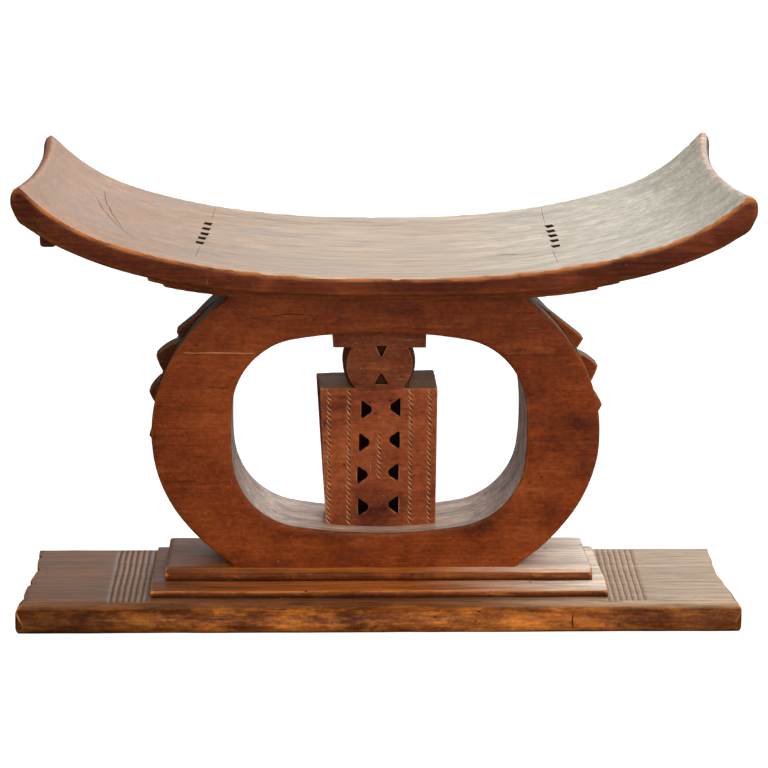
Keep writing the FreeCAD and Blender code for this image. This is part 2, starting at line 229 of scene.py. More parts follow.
def wearAndHighlightGroup():
    s = wearAndHighlightSettings
    inputs = [("Vector", "Vector")] + numbers("Bend", "Low", "High")
    inputs += numbers("Upward", "From", "To", "Share")
    tree, given, out = newGroup("edgeWearAndHighlight", inputs, numbers("Worn", "Grime"))
    rough = noisy(tree, stretched(tree, given["Vector"], (s["along"], 1, 1)), *s["patches"])
    patchy = ranged(tree, rough, *s["patchLevels"], s["least"], 1.0)
    edge = ranged(tree, given["Bend"], given["Low"], given["High"])
    worn = maths(tree, "MULTIPLY", edge, patchy, clamp=True)
    least = maths(tree, "MULTIPLY", given["Share"], s["underneath"])
    upwardEdges = ranged(tree, given["Upward"], given["From"], given["To"], least, given["Share"])
    # Darker in hollow corners, where the surface bends inwards
    hollow = maths(tree, "MULTIPLY", given["Bend"], -1.0)
    grime = ranged(tree, hollow, given["Low"], given["High"])
    feed(tree, out, Worn=maths(tree, "MULTIPLY", worn, upwardEdges), Grime=grime)
    return tree


markSettings = {
    "speckAlong": 0.5,
    "speckScale": 120.0,
    "speckSway": (240.0, 2.0),
    "speckSwaySize": 0.16,
    "speckEdge": (0.22, 0.15),
    "crowds": (26.0, 3.0),
    "crowdLevels": (0.50, 0.64),
    "scratches": (          # how a noise is stretched, the noise, and where it shows
        ((0.05, 1, 1), (560.0, 1.0), (0.76, 0.82)),
        ((1, 1, 0.08), (430.0, 1.0), (0.78, 0.84)),
        ((1, 1, 1), (330.0, 2.0), (0.72, 0.78)),
    ),
    "mottle": (15.0, 9.0, 0.66, 0.2),
    "patchAlong": 0.28,
    "patches": (60.0, 9.0, 0.76, 0.15),
    "gritAlong": 0.7,
    "grit": (330.0, 4.0, 0.75),
}


def markGroup():
    s = markSettings
    inputs = [("Vector", "Vector")] + numbers("Specks", "Scratches")
    outputs = numbers("Dark", "Light", "Mottle", "Patches", "Grit")
    tree, given, out = newGroup("handlingMarks", inputs, outputs)
    vector = given["Vector"]
    speck = addNode(tree, "ShaderNodeTexVoronoi", feature="F1")
    slow = stretched(tree, vector, (s["speckAlong"], 1, 1))
    feed(tree, speck, Vector=slow, Scale=s["speckScale"])
    sway = noisy(tree, vector, *s["speckSway"])
    distance = maths(tree, "MULTIPLY_ADD", sway, s["speckSwaySize"], speck.outputs["Distance"])
    crowd = ranged(tree, noisy(tree, vector, *s["crowds"]), *s["crowdLevels"])
    dark = maths(tree, "MULTIPLY", ranged(tree, distance, *s["speckEdge"]), crowd)
    dark = maths(tree, "MULTIPLY", dark, given["Specks"], clamp=True)
    lines = 0.0
    for stretch, grain, levels in s["scratches"]:
        line = noisy(tree, stretched(tree, vector, stretch), *grain)
        lines = maths(tree, "MAXIMUM", lines, ranged(tree, line, *levels))
    light = maths(tree, "MULTIPLY", lines, given["Scratches"], clamp=True)
    mottle = noisy(tree, vector, *s["mottle"])
    patches = noisy(tree, stretched(tree, vector, (s["patchAlong"], 1, 1)), *s["patches"])
    grit = noisy(tree, stretched(tree, vector, (s["gritAlong"], 1, 1)), *s["grit"])
    feed(tree, out, Dark=dark, Light=light, Mottle=mottle, Patches=patches, Grit=grit)
    return tree


# Pale of wood rubbed dry, with painted sheen and painted reflection where it looks up,
# whose tone changes from one end of the stool to the other
paleSheenSettings = {
    "towardsLeft": (-0.02, -0.26),
    "towardsRight": (0.02, 0.24),
    "steepness": 0.25,      # how far above its first slope the pale is full
    "mottleLevels": (0.25, 0.55),
    "leastPale": 0.8,
    "streaks": (1.6, 0.2),
    "gritShare": 0.3,
    "threadShare": 2.0,
    "ringLevels": (0.35, 0.65),
    "ringDepth": 0.3,
}


def paleSheenGroup():
    s = paleSheenSettings
    inputs = [("Vector", "Vector"), ("Middle", "Color"), ("Left", "Color"), ("Right", "Color")]
    inputs += numbers("Figure", "Fibre", "Rings", "Grit", "Mottle", "Upward")
    inputs += numbers("Years", "From", "Share")
    tree, given, out = newGroup("paleWoodAndSheen", inputs, [("Colour", "Color"), ("Mask", "Float")])
    along = parted(tree, given["Vector"])["X"]
    left = ranged(tree, along, *s["towardsLeft"])
    right = ranged(tree, along, *s["towardsRight"])
    tone = mixed(tree, left, given["Middle"], given["Left"])
    tone = mixed(tree, right, tone, given["Right"])
    streak = maths(tree, "MULTIPLY_ADD", given["Figure"], *s["streaks"])
    streak = maths(tree, "MULTIPLY", streak, swing(tree, given["Grit"], s["gritShare"]))
    streak = maths(tree, "MULTIPLY", streak, swing(tree, given["Fibre"], s["threadShare"]))
    less = maths(tree, "MULTIPLY_ADD", given["Years"], -s["ringDepth"], 1.0)
    more = maths(tree, "MULTIPLY_ADD", given["Years"], s["ringDepth"], 1.0)
    yearly = ranged(tree, given["Rings"], *s["ringLevels"], less, more)
    colour = mixed(tree, 1.0, tone, maths(tree, "MULTIPLY", streak, yearly), "MULTIPLY")
    full = maths(tree, "ADD", given["From"], s["steepness"])
    mask = ranged(tree, given["Upward"], given["From"], full, 0.0, given["Share"])
    patchy = ranged(tree, given["Mottle"], *s["mottleLevels"], s["leastPale"], 1.0)
    mask = maths(tree, "MULTIPLY", mask, patchy, clamp=True)
    feed(tree, out, Colour=colour, Mask=mask)
    return tree


# Painted shade: darker towards each end of the stool, and painted light where a share is above one
endShadeSettings = {
    "left": (-0.30, -0.10),
    "right": (0.30, 0.12),
}


def endGroup():
    s = endShadeSettings
    inputs = [("Vector", "Vector")] + numbers("Left", "Right")
    tree, given, out = newGroup("paintedEndShade", inputs, numbers("Shade"))
    along = parted(tree, given["Vector"])["X"]
    left = ranged(tree, along, *s["left"], given["Left"], 1.0)
    right = ranged(tree, along, *s["right"], given["Right"], 1.0)
    feed(tree, out, Shade=maths(tree, "MULTIPLY", left, right))
    return tree


# Painted shade in the seam that one step makes with the next, and along the foot's bottom, in mm
# above its level
seamShadeSettings = {
    "above": (3.5, 0.8),
    "below": (-0.4, 0.0),
    "share": 0.8,
}


def seamShadeGroup():
    s = seamShadeSettings
    tree, given, out = newGroup("paintedSeamShade", numbers("Height", "Level"), numbers("Mask"))
    rise = maths(tree, "SUBTRACT", given["Height"], given["Level"])
    above = ranged(tree, rise, *(value * mm for value in s["above"]), 0.0, s["share"])
    below = ranged(tree, rise, *(value * mm for value in s["below"]))
    feed(tree, out, Mask=maths(tree, "MULTIPLY", above, below))
    return tree


# Painted shade in pockets, from a little behind the face that they are cut in, in mm
pocketShadeSettings = {
    "sideFade": 2,
    "topFade": 4,
}


def pocketShadeGroup():
    s = pocketShadeSettings
    inputs = [("Vector", "Vector")] + numbers("Half", "Start", "Full", "Top", "Share")
    tree, given, out = newGroup("paintedPocketShade", inputs, numbers("Mask"))
    place = parted(tree, given["Vector"])
    across, deep = (maths(tree, "ABSOLUTE", place[axis]) for axis in "XY")
    side = maths(tree, "SUBTRACT", given["Half"], s["sideFade"] * mm)
    inside = ranged(tree, across, given["Half"], side)
    inside = maths(tree, "MULTIPLY", inside, ranged(tree, deep, given["Start"], given["Full"]))
    low = maths(tree, "SUBTRACT", given["Top"], s["topFade"] * mm)
    under = ranged(tree, place["Z"], given["Top"], low, 0.0, given["Share"])
    feed(tree, out, Mask=maths(tree, "MULTIPLY", inside, under))
    return tree


groups = {
    "grain": grainGroup(),
    "wearAndHighlight": wearAndHighlightGroup(),
    "marks": markGroup(),
    "pale": paleSheenGroup(),
    "ends": endGroup(),
    "seam": seamShadeGroup(),
    "pocket": pocketShadeGroup(),
}
print("shared effects built")

# Woods: one dictionary of settings for each finish

polishedWood = {
    "dark": (0.055, 0.010, 0.003, 1),
    "middle": (0.142, 0.024, 0.003, 1),
    "light": (0.220, 0.044, 0.006, 1),
    "patch": (0.270, 0.068, 0.012, 1),
    "patchFrom": 0.54,
    "patchShare": 0.45,
    "patchSoft": 0.14,
    "sootShare": 0.8,
    "worn": (0.450, 0.165, 0.045, 1),
    "wornAndLitShare": 0.75,
    # Dark for specks and hollow corners, and the painted shade of seams and pockets
    "grime": (0.012, 0.004, 0.002, 1),
    "scratch": (0.360, 0.200, 0.120, 1),
    "paleShare": 0.0,
    "paleFrom": 0.75,
    "ringShare": 0.15,
    "figureShare": 0.3,
    "fibreShare": 0.45,
    "gritShare": 1.6,
    "upwardEdges": (-0.45, 0.0),    # edges that look up at least so far carry wear and painted highlight
    "specks": 0.7,
    "scratches": 0.5,
    "edgeBendLow": 70.0,
    "edgeBendHigh": 380.0,
    "rough": (0.34, 0.50),
    "coat": 0.06,
    "gloss": 0.25,
    "bump": 0.22,
}

ringWood = dict(
    polishedWood,
    light=(0.205, 0.041, 0.006, 1),
    patchShare=0.3,
    sootShare=0.45,
    endShade=(0.6, 1.2),
    wallShare=0.9,              # how much dust and painted sheen the walls of the opening have
    pale=(0.620, 0.440, 0.330, 1),
    paleLeft=(0.600, 0.550, 0.520, 1),
    paleRight=(0.590, 0.560, 0.550, 1),
)

boxWood = dict(
    polishedWood,
    middle=(0.165, 0.034, 0.010, 1),
    light=(0.245, 0.060, 0.017, 1),
    pale=(0.130, 0.078, 0.042, 1),
    paleLeft=(0.130, 0.078, 0.042, 1),
    paleRight=(0.130, 0.078, 0.042, 1),
    paleShare=0.85,
    figureShare=0.15,
    scratches=0.9,
    worn=(0.520, 0.260, 0.120, 1),
    wornAndLitShare=0.65,
    edgeBendLow=190.0,
    edgeBendHigh=520.0,
    rough=(0.55, 0.75),
    coat=0.0,
    # Painted shade in pockets, in mm: where it starts and is full behind the face, and how far
    # below the node's top it ends
    pockets={
        "node": "column_box", "halfWidth": 27, "depths": (1.0, 4.0), "below": 4, "share": 1.0,
    },
)

drumWood = dict(
    boxWood,
    middle=(0.105, 0.024, 0.008, 1),
    light=(0.155, 0.040, 0.013, 1),
    wornAndLitShare=0.5,
    pockets={
        "node": "column_drum", "halfWidth": 14, "depths": (0.5, 2.0), "below": -9, "share": 0.85,
    },
)

shadedWood = dict(              # for what lies in the shade of the seat
    polishedWood,
    middle=(0.050, 0.013, 0.005, 1),
    light=(0.095, 0.024, 0.008, 1),
    patchShare=0.1,
    wornAndLitShare=0.3,
)

seatWood = dict(
    polishedWood,
    dark=(0.030, 0.006, 0.002, 1),
    middle=(0.072, 0.012, 0.002, 1),
    light=(0.135, 0.026, 0.004, 1),
    patch=(0.170, 0.038, 0.006, 1),
    patchShare=0.4,
    pale=(0.480, 0.340, 0.220, 1),
    paleLeft=(0.320, 0.140, 0.050, 1),
    paleRight=(0.560, 0.510, 0.400, 1),
    gritShare=1.2,
    gloss=0.38,
    coat=0.1,
    paleShare=0.96,
    paleFrom=0.50,
    ringShare=0.16,
    fibreShare=1.0,
    specks=0.45,
    scratches=0.4,
    worn=(0.360, 0.110, 0.018, 1),
    wornAndLitShare=0.9,
    upwardEdges=(0.0, 0.4),
    endShade=(0.55, 0.9),
    edgeBendLow=26.0,
    edgeBendHigh=110.0,
    rough=(0.33, 0.46),
)

stepWood = dict(
    polishedWood,
    dark=(0.040, 0.010, 0.003, 1),
    middle=(0.100, 0.019, 0.002, 1),
    light=(0.200, 0.050, 0.007, 1),
    patch=(0.380, 0.115, 0.016, 1),
    patchFrom=0.55,
    patchShare=0.65,
    pale=(0.330, 0.090, 0.018, 1),
    paleLeft=(0.120, 0.048, 0.022, 1),
    paleRight=(0.900, 0.750, 0.590, 1),
    endShade=(0.6, 0.9),
    upwardEdges=(-0.05, 0.3),
    shadedSeams=("foot", "lower_step", "upper_step", "ring"),
    paleShare=0.95,
    paleFrom=0.6,
    fibreShare=0.9,
    specks=1.0,
    worn=(0.560, 0.190, 0.040, 1),
    wornAndLitShare=0.85,
    edgeBendLow=80.0,
    edgeBendHigh=300.0,
)

footWood = dict(
    stepWood,
    middle=(0.110, 0.024, 0.003, 1),
    light=(0.270, 0.072, 0.010, 1),
    patch=(0.500, 0.150, 0.020, 1),
    patchFrom=0.42,
    patchShare=0.8,
    patchSoft=0.26,
    paleEdge=(0.135, 0.080, 0.12),      # where the pale stops and is full, and its share beyond
    paleFrom=0.7,
    endShade=(0.30, 0.5),
    pale=(0.150, 0.052, 0.020, 1),
    paleLeft=(0.215, 0.092, 0.040, 1),
    paleRight=(0.450, 0.305, 0.185, 1),
    edgeBendLow=40.0,
    edgeBendHigh=190.0,
)

# The same in every wood
toneSettings = {
    "stops": (0.36, 0.5, 0.66),         # of the dark, middle and light tones
    "sootLevels": (0.44, 0.30),
    "fibreSwing": 1.9,
    "edgeWander": 0.12,
    "poreShare": 0.45,
    "scratchShare": 0.55,
    "hollowShare": 0.75,
    "roughLevels": (0.3, 0.7),
    "fibreHeight": 0.5,
    "patchHeight": 0.9,
    "speckDepth": 0.8,
    "bumpDistance": 2 * mm,
    "ior": 1.5,
    "coatRough": 0.28,
}

wallDustSheenSettings = {
    "facing": (-0.03, -0.07),           # how much a wall looks towards the middle
    "figureLevels": (0.25, 0.6),
    "least": 0.5,
    "rim": (1.5, 5),                    # in mm behind the ring's faces
}


# Dust and painted sheen on the walls that look towards the middle of the opening
def wallDustAndSheen(tree, vector, normal, figure, across, share):
    s = wallDustSheenSettings
    low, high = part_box("ring")
    centred = addNode(tree, "ShaderNodeVectorMath", operation="SUBTRACT")
    middle = (0, 0, (low[2] + high[2]) / 2)
    feed(tree, centred, i0=stretched(tree, vector, (1, 0, 1)), i1=middle)
    inward = addNode(tree, "ShaderNodeVectorMath", operation="DOT_PRODUCT")
    feed(tree, inward, i0=centred.outputs[0], i1=normal)
    dustAndSheen = ranged(tree, inward.outputs["Value"], *s["facing"], 0.0, share)
    dustAndSheen = maths(tree, "MULTIPLY", dustAndSheen, ranged(tree, figure, *s["figureLevels"], s["least"], 1.0))
    rim = ranged(tree, across, *(high[1] - value * mm for value in s["rim"]))
    return maths(tree, "MULTIPLY", dustAndSheen, rim)


# The brown under everything else: mottled, patched, with painted shade at the ends and in the
# seams, and fibrous
def brownTone(tree, s, vector, place, grain, marks):
    t = toneSettings
    drawn = maths(tree, "MULTIPLY", grain["Figure"], s["figureShare"])
    tone = maths(tree, "MULTIPLY_ADD", marks["Mottle"], 1 - s["figureShare"], drawn)
    ramp = addNode(tree, "ShaderNodeValToRGB")
    stops = ramp.color_ramp.elements
    stops[0].position, stops[1].position = t["stops"][0], t["stops"][2]
    stops[0].color, stops[1].color = s["dark"], s["light"]
    stops.new(t["stops"][1]).color = s["middle"]
    feed(tree, ramp, i0=tone)
    patchEnd = s["patchFrom"] + s["patchSoft"]
    patchy = ranged(tree, marks["Patches"], s["patchFrom"], patchEnd, 0.0, s["patchShare"])
    colour = mixed(tree, patchy, ramp.outputs["Color"], s["patch"])
    sooty = ranged(tree, marks["Patches"], *t["sootLevels"], 0.0, s["sootShare"])
    colour = mixed(tree, sooty, colour, s["dark"])
    # Painted shade at the ends of the stool, and painted light at the ring's right end
    if "endShade" in s:
        left, right = s["endShade"]
        ends = useGroup(tree, groups["ends"], Vector=vector, Left=left, Right=right)
        colour = mixed(tree, 1.0, colour, ends.outputs["Shade"], "MULTIPLY")
    # Painted shade in the seams between the steps and along the foot's bottom
    for node in s.get("shadedSeams", ()):
        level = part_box(node)[0][2]
        seam = useGroup(tree, groups["seam"], Height=place["Z"], Level=level).outputs["Mask"]
        colour = mixed(tree, seam, colour, s["grime"])
    fine = swing(tree, grain["Fibre"], t["fibreSwing"] * s["fibreShare"])
    gritty = swing(tree, marks["Grit"], s["gritShare"])
    return mixed(tree, 1.0, colour, maths(tree, "MULTIPLY", fine, gritty), "MULTIPLY")


# The pale, of rubbed wood and painted sheen, lies where the wood looks up, drawn back from the
# foot's edges, and in the ring it is dust and painted sheen on the inner walls
def paleSheenOver(tree, s, colour, vector, place, normal, upward, grain, marks):
    t = toneSettings
    pale = useGroup(
        tree, groups["pale"], Vector=vector, Upward=upward, Mottle=marks["Mottle"],
        Figure=grain["Figure"], Fibre=grain["Fibre"], Rings=grain["Rings"], Grit=marks["Grit"],
        Middle=s["pale"], Left=s["paleLeft"], Right=s["paleRight"],
        Years=s["ringShare"], From=s["paleFrom"], Share=s["paleShare"],
    ).outputs
    mask = pale["Mask"]
    across = maths(tree, "ABSOLUTE", place["Y"])
    if "paleEdge" in s:
        outer, inner, share = s["paleEdge"]
        centred = maths(tree, "SUBTRACT", marks["Mottle"], 0.5)
        wander = maths(tree, "MULTIPLY_ADD", centred, t["edgeWander"], across)
        mask = maths(tree, "MULTIPLY", mask, ranged(tree, wander, outer, inner, share, 1.0))
    if "wallShare" in s:
        mask = wallDustAndSheen(tree, vector, normal, grain["Figure"], across, s["wallShare"])
    return mixed(tree, mask, colour, pale["Colour"])


def pocketShadeMask(tree, vector, s):
    low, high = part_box(s["node"])
    start, full = (-low[1] - value * mm for value in s["depths"])
    top = high[2] - s["below"] * mm
    return useGroup(
        tree, groups["pocket"], Vector=vector, Half=s["halfWidth"] * mm,
        Start=start, Full=full, Top=top, Share=s["share"],
    ).outputs["Mask"]


def woodMaterial(name, s):
    t = toneSettings
    material = bpy.data.materials.new(name)
    material.use_nodes = True
    tree = material.node_tree
    surface = tree.nodes["Principled BSDF"]
    vector = addNode(tree, "ShaderNodeTexCoord").outputs["Object"]
    bend = addNode(tree, "ShaderNodeAttribute", attribute_name="bend").outputs["Fac"]
    normal = addNode(tree, "ShaderNodeNewGeometry").outputs["Normal"]
    place, upward = parted(tree, vector), parted(tree, normal)["Z"]
    grain = useGroup(tree, groups["grain"], Vector=vector).outputs
    marks = useGroup(
        tree, groups["marks"], Vector=vector, Specks=s["specks"], Scratches=s["scratches"],
    ).outputs
    low, high = s["upwardEdges"]
    wearAndHighlight = useGroup(
        tree, groups["wearAndHighlight"], Vector=vector, Bend=bend, Low=s["edgeBendLow"], High=s["edgeBendHigh"],
        Upward=upward, From=low, To=high, Share=s["wornAndLitShare"],
    ).outputs

    colour = brownTone(tree, s, vector, place, grain, marks)
    # Pale of rubbed wood, with painted sheen and painted reflection where the wood looks up
    if "pale" in s:
        colour = paleSheenOver(tree, s, colour, vector, place, normal, upward, grain, marks)
    colour = mixed(tree, maths(tree, "MULTIPLY", grain["Pores"], t["poreShare"]), colour, s["dark"])
    # Wear and painted highlight on the outward edges
    colour = mixed(tree, wearAndHighlight["Worn"], colour, s["worn"])
    scratched = maths(tree, "MULTIPLY", marks["Light"], t["scratchShare"])
    colour = mixed(tree, scratched, colour, s["scratch"])
    # Darker in hollow corners
    hollowDark = maths(tree, "MULTIPLY", wearAndHighlight["Grime"], t["hollowShare"])
    colour = mixed(tree, hollowDark, colour, s["grime"])
    colour = mixed(tree, marks["Dark"], colour, s["grime"])
    # Painted shade in the pockets
    if "pockets" in s:
        colour = mixed(tree, pocketShadeMask(tree, vector, s["pockets"]), colour, s["grime"])
    roughness = ranged(tree, marks["Mottle"], *t["roughLevels"], *s["rough"])
    feed(tree, surface, IOR=t["ior"], Roughness=roughness, **{
        "Base Color": colour, "Specular IOR Level": s["gloss"],
        "Coat Weight": s["coat"], "Coat Roughness": t["coatRough"], "Coat IOR": t["ior"],
    })

    raised = maths(tree, "MULTIPLY", marks["Patches"], t["patchHeight"])
    height = maths(tree, "MULTIPLY_ADD", grain["Fibre"], t["fibreHeight"], raised)
    height = maths(tree, "MULTIPLY_ADD", marks["Dark"], -t["speckDepth"], height)
    bump = addNode(tree, "ShaderNodeBump")
    feed(tree, bump, Strength=s["bump"], Distance=t["bumpDistance"], Height=height)
    feed(tree, surface, Normal=bump.outputs[0])
    return material


cutSettings = {
    "cutWood": {
        "deep": (0.006, 0.003, 0.002, 1), "fresh": (0.050, 0.019, 0.009, 1),
        "rough": 0.9, "gloss": 0.05,
    },
    "scratchedAndLitWood": {
        "deep": (0.260, 0.105, 0.040, 1), "fresh": (0.460, 0.235, 0.110, 1),
        "rough": 0.8, "gloss": 0.2,
    },
}

cutGrain = {"levels": (0.35, 0.7), "bump": 0.2, "distance": 1 * mm}


# Wood inside chips, scores and cracks, which has no polish; on the box's nicks the dark kind also
# stands for painted shade and the light kind for painted light
def cutMaterial(name):
    s = cutSettings[name]
    material = bpy.data.materials.new(name)
    material.use_nodes = True
    tree = material.node_tree
    surface = tree.nodes["Principled BSDF"]
    vector = addNode(tree, "ShaderNodeTexCoord").outputs["Object"]
    fibre = useGroup(tree, groups["grain"], Vector=vector).outputs["Fibre"]
    tone = mixed(tree, ranged(tree, fibre, *cutGrain["levels"]), s["deep"], s["fresh"])
    bump = addNode(tree, "ShaderNodeBump")
    feed(tree, bump, Strength=cutGrain["bump"], Distance=cutGrain["distance"], Height=fibre)
    feed(tree, surface, Roughness=s["rough"], Normal=bump.outputs[0], **{
        "Base Color": tone, "Specular IOR Level": s["gloss"],
    })
    return material


woods = {
    "polished": woodMaterial("polishedWood", polishedWood),
    "ring": woodMaterial("ringWood", ringWood),
    "box": woodMaterial("boxWood", boxWood),
    "drum": woodMaterial("drumWood", drumWood),
    "shaded": woodMaterial("shadedWood", shadedWood),
    "seat": woodMaterial("seatWood", seatWood),
    "step": woodMaterial("stepWood", stepWood),
    "foot": woodMaterial("footWood", footWood),
    "cut": cutMaterial("cutWood"),
    "scratch": cutMaterial("scratchedAndLitWood"),
}
print("woods mixed")

# Carving: each node is copied, evened out, softened and waved as a hand-cut block is

carveSettings = {
    "seed": 7,                  # without one, noise_vector differs in every run
    "joinDistance": 0.01 * mm,
    "levelFace": 0.9,           # a face that looks up or down at least so far is level
    "tuckWithin": 200,
    "waveLength": 85 * mm,
    "waveHeight": 0.45 * mm,
    "rippleLength": 26 * mm,
    "rippleHeight": 0.18 * mm,
    "biteLength": 22 * mm,      # along the gnawed ends of the foot
    "biteFrom": 0.86,           # as a share of half the foot's length
    "biteLeast": 0.25,
    "biteGrowth": 1.5,
    "shortestRun": 0.2 * mm,
    "bendLimit": 900.0,
    "sharpAngle": 50,
    "quickCoarseness": 1.6,
}

noise.seed_set(carveSettings["seed"])


def freshObject(name, bm):
    mesh = bpy.data.meshes.new(name)
    bm.to_mesh(mesh)
    bm.free()
    obj = bpy.data.objects.new(name, mesh)
    bpy.context.scene.collection.objects.link(obj)
    return obj


def applyModifiers(obj):
    bpy.context.view_layer.update()
    depsgraph = bpy.context.evaluated_depsgraph_get()
    mesh = bpy.data.meshes.new_from_object(obj.evaluated_get(depsgraph), depsgraph=depsgraph)
    obj.modifiers.clear()
    old = obj.data
    obj.data = mesh
    bpy.data.meshes.remove(old)


# What lies on or under a neighbour runs a little into it, so that no seam opens
# when the edges are softened
def mergedNode(node, s):
    bm = bmesh.new()
    bm.from_mesh(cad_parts[node].data)
    bmesh.ops.remove_doubles(bm, verts=bm.verts, dist=carveSettings["joinDistance"])
    bmesh.ops.recalc_face_normals(bm, faces=bm.faces)
    low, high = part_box(node)
    within = s.get("tuckWithin", carveSettings["tuckWithin"]) * mm
    for label, facing, level in (("tuckDown", -1, low[2]), ("tuckUp", 1, high[2])):
        if label not in s:
            continue
        moved = set()
        for face in bm.faces:
            near = abs(face.calc_center_median().z - level) < within
            if near and face.normal.z * facing > carveSettings["levelFace"]:
                moved.update(face.verts)
        bmesh.ops.translate(bm, verts=list(moved), vec=(0, 0, facing * s[label] * mm))
    return freshObject(node + "Carved", bm)


def evened(obj, voxel, softness):
    even = obj.modifiers.new("even", "REMESH")
    even.mode = "VOXEL"
    even.voxel_size = voxel
    even.adaptivity = 0
    applyModifiers(obj)
    bm = bmesh.new()
    bm.from_mesh(obj.data)
    everyWay = {"use_axis_x": True, "use_axis_y": True, "use_axis_z": True}
    for _ in range(softness):
        bmesh.ops.smooth_vert(bm, verts=bm.verts, factor=0.5, **everyWay)
    bm.to_mesh(obj.data)
    bm.free()


def handWaved(obj, drift, share):
    s = carveSettings
    low, high = cadBounds
    for vertex in obj.data.vertices:
        place = vertex.co.copy()
        wave = noise.noise_vector(place / s["waveLength"]) * s["waveHeight"] * share
        ripple = noise.noise_vector(place / s["rippleLength"]) * s["rippleHeight"] * share
        moved = place + wave + ripple
        if drift:
            end = max(0, abs(place.x) / high[0] - s["biteFrom"]) / (1 - s["biteFrom"])
            bite = noise.noise(place / s["biteLength"]) * drift
            moved.x += bite * (s["biteLeast"] + s["biteGrowth"] * end)
        vertex.co = [min(max(moved[i], low[i]), high[i]) for i in range(3)]
    obj.data.update()


# Rolls the edges over: each entry is an axis with its top and bottom radius
def rolled(obj, node, edges):
    low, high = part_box(node)
    for axis, top, bottom in edges:
        middle, half = (low[axis] + high[axis]) / 2, (high[axis] - low[axis]) / 2
        for radius, level, facing in ((top * mm, high[2], 1), (bottom * mm, low[2], -1)):
            if not radius:
                continue
            for vertex in obj.data.vertices:
                side = 1 if vertex.co[axis] > middle else -1
                out = (abs(vertex.co[axis] - middle) - half) / radius + 1
                up = (vertex.co.z - level) * facing / radius + 1
                if out > 0 and up > 0 and math.hypot(out, up) > 1:
                    share = 1 / math.hypot(out, up)
                    vertex.co[axis] = middle + side * (half + (out * share - 1) * radius)
                    vertex.co.z = level + facing * (up * share - 1) * radius
    obj.data.update()


def thinned(obj, share):
    fewer = obj.modifiers.new("fewer", "DECIMATE")
    fewer.ratio = share
    applyModifiers(obj)


# Stores how sharply the surface bends at each point, edges above zero and corners below
def markBends(obj, spread):
    mesh = obj.data
    count = len(mesh.vertices)
    places = np.empty(count * 3, np.float32)
    normals = np.empty(count * 3, np.float32)
    edges = np.empty(len(mesh.edges) * 2, np.int32)
    mesh.vertices.foreach_get("co", places)
    mesh.vertices.foreach_get("normal", normals)
    mesh.edges.foreach_get("vertices", edges)
    places, normals = places.reshape(-1, 3), normals.reshape(-1, 3)
    first, second = edges.reshape(-1, 2).T
    run = places[second] - places[first]
    squared = np.maximum((run ** 2).sum(1), carveSettings["shortestRun"] ** 2)
    total, weight = np.zeros(count), np.zeros(count)
    for here, sign in ((first, 1), (second, -1)):
        np.add.at(total, here, sign * 2 * (run * normals[here]).sum(1) / squared)
        np.add.at(weight, here, 1)
    limit = carveSettings["bendLimit"]
    bend = np.clip(-total / np.maximum(weight, 1), -limit, limit)
    for _ in range(spread):
        total = bend * weight
        np.add.at(total, first, bend[second])
        np.add.at(total, second, bend[first])
        bend = total / np.maximum(2 * weight, 1)
    layer = mesh.attributes.get("bend") or mesh.attributes.new("bend", "FLOAT", "POINT")
    layer.data.foreach_set("value", bend.astype(np.float32))
    sample = [round(float(np.percentile(bend, share))) for share in (1, 50, 99)]
    print(obj.name, "bends, low, middle and high:", sample)


# Cutters for what is carved after the main forms

cutterSettings = {
    "castFrom": 0.3,            # how far outside a surface it is looked for
    "overcut": 0.4 * mm,        # how far a cutter stands out of the surface
    "scoreStep": 5 * mm,
    "swayLength": 14 * mm,
    "scoreEnd": 0.35,           # share of a groove's radius left at its ends
}


def surfaceOf(obj):
    bm = bmesh.new()
    bm.from_mesh(obj.data)
    tree = BVHTree.FromBMesh(bm)
    bm.free()
    return tree


def foundOn(surface, place, facing):
    return surface.ray_cast(place + facing * cutterSettings["castFrom"], -facing)[0]


# Pyramid cut into a surface: size is half its length, half its width and its depth,
# and lean moves its deepest point across by a share of the width
def addChip(bm, surface, place, facing, sides, size, turn, lean=0.0):
    facing = Vector(facing)
    hit = foundOn(surface, place, facing)
    if hit is None:
        return []
    length, width, depth = size
    above = cutterSettings["overcut"]
    spread = (depth + above) / depth
    made = bmesh.ops.create_cone(
        bm, cap_ends=True, cap_tris=False, segments=sides, radius1=0.0, radius2=1.0, depth=1.0,
    )["verts"]
    shape = Matrix.Diagonal((length * spread, width * spread, depth + above, 1))
    bmesh.ops.transform(bm, verts=made, matrix=shape @ Matrix.Translation((0, 0, -0.5)))
    tip = min(made, key=lambda vertex: vertex.co.z)
    tip.co.y += lean * width
    upright = facing.to_track_quat("Z", "Y").to_matrix().to_4x4()
    turned = upright @ Matrix.Rotation(turn, 4, "Z")
    bmesh.ops.transform(
        bm, verts=made, matrix=Matrix.Translation(hit + facing * above) @ turned,
    )
    return list({face for vertex in made for face in vertex.link_faces})


